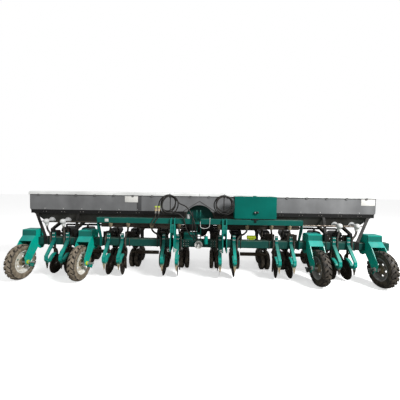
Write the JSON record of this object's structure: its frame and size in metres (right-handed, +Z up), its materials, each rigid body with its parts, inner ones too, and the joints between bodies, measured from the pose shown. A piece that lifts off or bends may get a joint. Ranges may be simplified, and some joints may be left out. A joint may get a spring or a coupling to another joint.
{
  "type": "precision planter",
  "caption": "Mounted precision planter for ridges: toolbar on ground wheels, fertilizer openers in front, seed row units behind, one long hopper above.",
  "frame": {"origin": "on the ground, under the middle of the machine's bounding box", "axes": "+X to the right of someone who stands at the tractor end and looks at the machine; -Y forward, towards the tractor; +Z up"},
  "size_m": [7.219, 1.8174, 1.662],
  "materials": {
    "green_paint": "satin",
    "bright_green_paint": "gloss",
    "dark_green_paint": "satin",
    "black_paint": "satin",
    "grey_paint": "satin",
    "white_paint": "gloss",
    "steel": "worn",
    "tyre": "matte",
    "black_rubber": "matte",
    "black_plastic": "satin"
  },
  "bodies": {
    "frame": {"toolbar": "green_paint", "headstock": "green_paint", "front_rail": "green_paint", "wheel_forks": "green_paint", "opener_shanks": "bright_green_paint", "row_brackets": "black_paint", "parallel_arms": "black_paint", "row_unit_frames": "black_paint", "seed_hoppers": "black_plastic", "fertilizer_hopper": "grey_paint", "hopper_supports": "black_paint", "fertilizer_meters": "black_plastic", "hoses": "black_rubber", "hose_coil_left": "black_rubber", "hose_coil_right": "black_rubber", "control_box": "green_paint", "fan_and_driveline": "dark_green_paint"},
    "hopper_lid_right": {"hopper_lid_right": "white_paint"},
    "hopper_lid_left": {"hopper_lid_left": "white_paint"},
    "control_box_door": {"control_box_door": "green_paint"},
    "wheel_left_outer": {"wheel_left_outer": "tyre"},
    "wheel_left_inner": {"wheel_left_inner": "tyre"},
    "wheel_right_inner": {"wheel_right_inner": "tyre"},
    "wheel_right_outer": {"wheel_right_outer": "tyre"},
    "opener_discs_01": {"opener_discs_01": "steel"},
    "opener_discs_02": {"opener_discs_02": "steel"},
    "opener_discs_03": {"opener_discs_03": "steel"},
    "opener_discs_04": {"opener_discs_04": "steel"},
    "opener_discs_05": {"opener_discs_05": "steel"},
    "opener_discs_06": {"opener_discs_06": "steel"},
    "opener_discs_07": {"opener_discs_07": "steel"},
    "opener_discs_08": {"opener_discs_08": "steel"},
    "opener_discs_09": {"opener_discs_09": "steel"},
    "opener_discs_10": {"opener_discs_10": "steel"},
    "opener_discs_11": {"opener_discs_11": "steel"},
    "opener_discs_12": {"opener_discs_12": "steel"},
    "gauge_wheels_01": {"gauge_wheels_01": "black_rubber"},
    "gauge_wheels_02": {"gauge_wheels_02": "black_rubber"},
    "gauge_wheels_03": {"gauge_wheels_03": "black_rubber"},
    "gauge_wheels_04": {"gauge_wheels_04": "black_rubber"},
    "gauge_wheels_05": {"gauge_wheels_05": "black_rubber"},
    "gauge_wheels_06": {"gauge_wheels_06": "black_rubber"},
    "gauge_wheels_07": {"gauge_wheels_07": "black_rubber"},
    "gauge_wheels_08": {"gauge_wheels_08": "black_rubber"},
    "gauge_wheels_09": {"gauge_wheels_09": "black_rubber"},
    "gauge_wheels_10": {"gauge_wheels_10": "black_rubber"},
    "gauge_wheels_11": {"gauge_wheels_11": "black_rubber"},
    "gauge_wheels_12": {"gauge_wheels_12": "black_rubber"},
    "press_wheel_01": {"press_wheel_01": "black_rubber"},
    "press_wheel_02": {"press_wheel_02": "black_rubber"},
    "press_wheel_03": {"press_wheel_03": "black_rubber"},
    "press_wheel_04": {"press_wheel_04": "black_rubber"},
    "press_wheel_05": {"press_wheel_05": "black_rubber"},
    "press_wheel_06": {"press_wheel_06": "black_rubber"},
    "press_wheel_07": {"press_wheel_07": "black_rubber"},
    "press_wheel_08": {"press_wheel_08": "black_rubber"},
    "press_wheel_09": {"press_wheel_09": "black_rubber"},
    "press_wheel_10": {"press_wheel_10": "black_rubber"},
    "press_wheel_11": {"press_wheel_11": "black_rubber"},
    "press_wheel_12": {"press_wheel_12": "black_rubber"}
  },
  "joints": [
    {"name": "hopper_lid_right_hinge", "type": "hinge", "parent": "frame", "child": "hopper_lid_right", "pos_m": [-0.0705, -0.12525, 1.6003], "axis": [1, 0, 0], "range_deg": [0, 95]},
    {"name": "hopper_lid_left_hinge", "type": "hinge", "parent": "frame", "child": "hopper_lid_left", "pos_m": [-0.0705, -0.12525, 1.6003], "axis": [1, 0, 0], "range_deg": [0, 95]},
    {"name": "control_box_door_hinge", "type": "hinge", "parent": "frame", "child": "control_box_door", "pos_m": [0.9805, -0.50925, 1.615], "axis": [-1, 0, 0], "range_deg": [0, 110]},
    {"name": "wheel_left_outer_spin", "type": "hinge", "parent": "frame", "child": "wheel_left_outer", "pos_m": [-3.4205, -0.58125, 0.3275], "axis": [1, 0, 0], "continuous": true},
    {"name": "wheel_left_inner_spin", "type": "hinge", "parent": "frame", "child": "wheel_left_inner", "pos_m": [-2.2955, -0.58125, 0.3275], "axis": [1, 0, 0], "continuous": true},
    {"name": "wheel_right_inner_spin", "type": "hinge", "parent": "frame", "child": "wheel_right_inner", "pos_m": [2.1545, -0.58125, 0.3275], "axis": [1, 0, 0], "continuous": true},
    {"name": "wheel_right_outer_spin", "type": "hinge", "parent": "frame", "child": "wheel_right_outer", "pos_m": [3.2795, -0.58125, 0.3275], "axis": [1, 0, 0], "continuous": true},
    {"name": "opener_discs_01_spin", "type": "hinge", "parent": "frame", "child": "opener_discs_01", "pos_m": [-2.9465, -0.26625, 0.203], "axis": [0.9938, -0.0869, -0.0698], "continuous": true},
    {"name": "opener_discs_02_spin", "type": "hinge", "parent": "frame", "child": "opener_discs_02", "pos_m": [-2.6945, -0.26625, 0.203], "axis": [0.9938, 0.0869, 0.0698], "continuous": true},
    {"name": "opener_discs_03_spin", "type": "hinge", "parent": "frame", "child": "opener_discs_03", "pos_m": [-1.8465, -0.26625, 0.203], "axis": [0.9938, -0.0869, -0.0698], "continuous": true},
    {"name": "opener_discs_04_spin", "type": "hinge", "parent": "frame", "child": "opener_discs_04", "pos_m": [-1.5945, -0.26625, 0.203], "axis": [0.9938, 0.0869, 0.0698], "continuous": true},
    {"name": "opener_discs_05_spin", "type": "hinge", "parent": "frame", "child": "opener_discs_05", "pos_m": [-0.7465, -0.26625, 0.203], "axis": [0.9938, -0.0869, -0.0698], "continuous": true},
    {"name": "opener_discs_06_spin", "type": "hinge", "parent": "frame", "child": "opener_discs_06", "pos_m": [-0.4945, -0.26625, 0.203], "axis": [0.9938, 0.0869, 0.0698], "continuous": true},
    {"name": "opener_discs_07_spin", "type": "hinge", "parent": "frame", "child": "opener_discs_07", "pos_m": [0.3535, -0.26625, 0.203], "axis": [0.9938, -0.0869, -0.0698], "continuous": true},
    {"name": "opener_discs_08_spin", "type": "hinge", "parent": "frame", "child": "opener_discs_08", "pos_m": [0.6055, -0.26625, 0.203], "axis": [0.9938, 0.0869, 0.0698], "continuous": true},
    {"name": "opener_discs_09_spin", "type": "hinge", "parent": "frame", "child": "opener_discs_09", "pos_m": [1.4535, -0.26625, 0.203], "axis": [0.9938, -0.0869, -0.0698], "continuous": true},
    {"name": "opener_discs_10_spin", "type": "hinge", "parent": "frame", "child": "opener_discs_10", "pos_m": [1.7055, -0.26625, 0.203], "axis": [0.9938, 0.0869, 0.0698], "continuous": true},
    {"name": "opener_discs_11_spin", "type": "hinge", "parent": "frame", "child": "opener_discs_11", "pos_m": [2.5535, -0.26625, 0.203], "axis": [0.9938, -0.0869, -0.0698], "continuous": true},
    {"name": "opener_discs_12_spin", "type": "hinge", "parent": "frame", "child": "opener_discs_12", "pos_m": [2.8055, -0.26625, 0.203], "axis": [0.9938, 0.0869, 0.0698], "continuous": true},
    {"name": "gauge_wheels_01_spin", "type": "hinge", "parent": "frame", "child": "gauge_wheels_01", "pos_m": [-3.0455, 0.27875, 0.2], "axis": [1, 0, 0], "continuous": true},
    {"name": "gauge_wheels_02_spin", "type": "hinge", "parent": "frame", "child": "gauge_wheels_02", "pos_m": [-2.5955, 0.27875, 0.2], "axis": [1, 0, 0], "continuous": true},
    {"name": "gauge_wheels_03_spin", "type": "hinge", "parent": "frame", "child": "gauge_wheels_03", "pos_m": [-1.9455, 0.27875, 0.2], "axis": [1, 0, 0], "continuous": true},
    {"name": "gauge_wheels_04_spin", "type": "hinge", "parent": "frame", "child": "gauge_wheels_04", "pos_m": [-1.4955, 0.27875, 0.2], "axis": [1, 0, 0], "continuous": true},
    {"name": "gauge_wheels_05_spin", "type": "hinge", "parent": "frame", "child": "gauge_wheels_05", "pos_m": [-0.8455, 0.27875, 0.2], "axis": [1, 0, 0], "continuous": true},
    {"name": "gauge_wheels_06_spin", "type": "hinge", "parent": "frame", "child": "gauge_wheels_06", "pos_m": [-0.3955, 0.27875, 0.2], "axis": [1, 0, 0], "continuous": true},
    {"name": "gauge_wheels_07_spin", "type": "hinge", "parent": "frame", "child": "gauge_wheels_07", "pos_m": [0.2545, 0.27875, 0.2], "axis": [1, 0, 0], "continuous": true},
    {"name": "gauge_wheels_08_spin", "type": "hinge", "parent": "frame", "child": "gauge_wheels_08", "pos_m": [0.7045, 0.27875, 0.2], "axis": [1, 0, 0], "continuous": true},
    {"name": "gauge_wheels_09_spin", "type": "hinge", "parent": "frame", "child": "gauge_wheels_09", "pos_m": [1.3545, 0.27875, 0.2], "axis": [1, 0, 0], "continuous": true},
    {"name": "gauge_wheels_10_spin", "type": "hinge", "parent": "frame", "child": "gauge_wheels_10", "pos_m": [1.8045, 0.27875, 0.2], "axis": [1, 0, 0], "continuous": true},
    {"name": "gauge_wheels_11_spin", "type": "hinge", "parent": "frame", "child": "gauge_wheels_11", "pos_m": [2.4545, 0.27875, 0.2], "axis": [1, 0, 0], "continuous": true},
    {"name": "gauge_wheels_12_spin", "type": "hinge", "parent": "frame", "child": "gauge_wheels_12", "pos_m": [2.9045, 0.27875, 0.2], "axis": [1, 0, 0], "continuous": true},
    {"name": "press_wheel_01_spin", "type": "hinge", "parent": "frame", "child": "press_wheel_01", "pos_m": [-3.0455, 0.73875, 0.17], "axis": [1, 0, 0], "continuous": true},
    {"name": "press_wheel_02_spin", "type": "hinge", "parent": "frame", "child": "press_wheel_02", "pos_m": [-2.5955, 0.73875, 0.17], "axis": [1, 0, 0], "continuous": true},
    {"name": "press_wheel_03_spin", "type": "hinge", "parent": "frame", "child": "press_wheel_03", "pos_m": [-1.9455, 0.73875, 0.17], "axis": [1, 0, 0], "continuous": true},
    {"name": "press_wheel_04_spin", "type": "hinge", "parent": "frame", "child": "press_wheel_04", "pos_m": [-1.4955, 0.73875, 0.17], "axis": [1, 0, 0], "continuous": true},
    {"name": "press_wheel_05_spin", "type": "hinge", "parent": "frame", "child": "press_wheel_05", "pos_m": [-0.8455, 0.73875, 0.17], "axis": [1, 0, 0], "continuous": true},
    {"name": "press_wheel_06_spin", "type": "hinge", "parent": "frame", "child": "press_wheel_06", "pos_m": [-0.3955, 0.73875, 0.17], "axis": [1, 0, 0], "continuous": true},
    {"name": "press_wheel_07_spin", "type": "hinge", "parent": "frame", "child": "press_wheel_07", "pos_m": [0.2545, 0.73875, 0.17], "axis": [1, 0, 0], "continuous": true},
    {"name": "press_wheel_08_spin", "type": "hinge", "parent": "frame", "child": "press_wheel_08", "pos_m": [0.7045, 0.73875, 0.17], "axis": [1, 0, 0], "continuous": true},
    {"name": "press_wheel_09_spin", "type": "hinge", "parent": "frame", "child": "press_wheel_09", "pos_m": [1.3545, 0.73875, 0.17], "axis": [1, 0, 0], "continuous": true},
    {"name": "press_wheel_10_spin", "type": "hinge", "parent": "frame", "child": "press_wheel_10", "pos_m": [1.8045, 0.73875, 0.17], "axis": [1, 0, 0], "continuous": true},
    {"name": "press_wheel_11_spin", "type": "hinge", "parent": "frame", "child": "press_wheel_11", "pos_m": [2.4545, 0.73875, 0.17], "axis": [1, 0, 0], "continuous": true},
    {"name": "press_wheel_12_spin", "type": "hinge", "parent": "frame", "child": "press_wheel_12", "pos_m": [2.9045, 0.73875, 0.17], "axis": [1, 0, 0], "continuous": true}
  ]
}
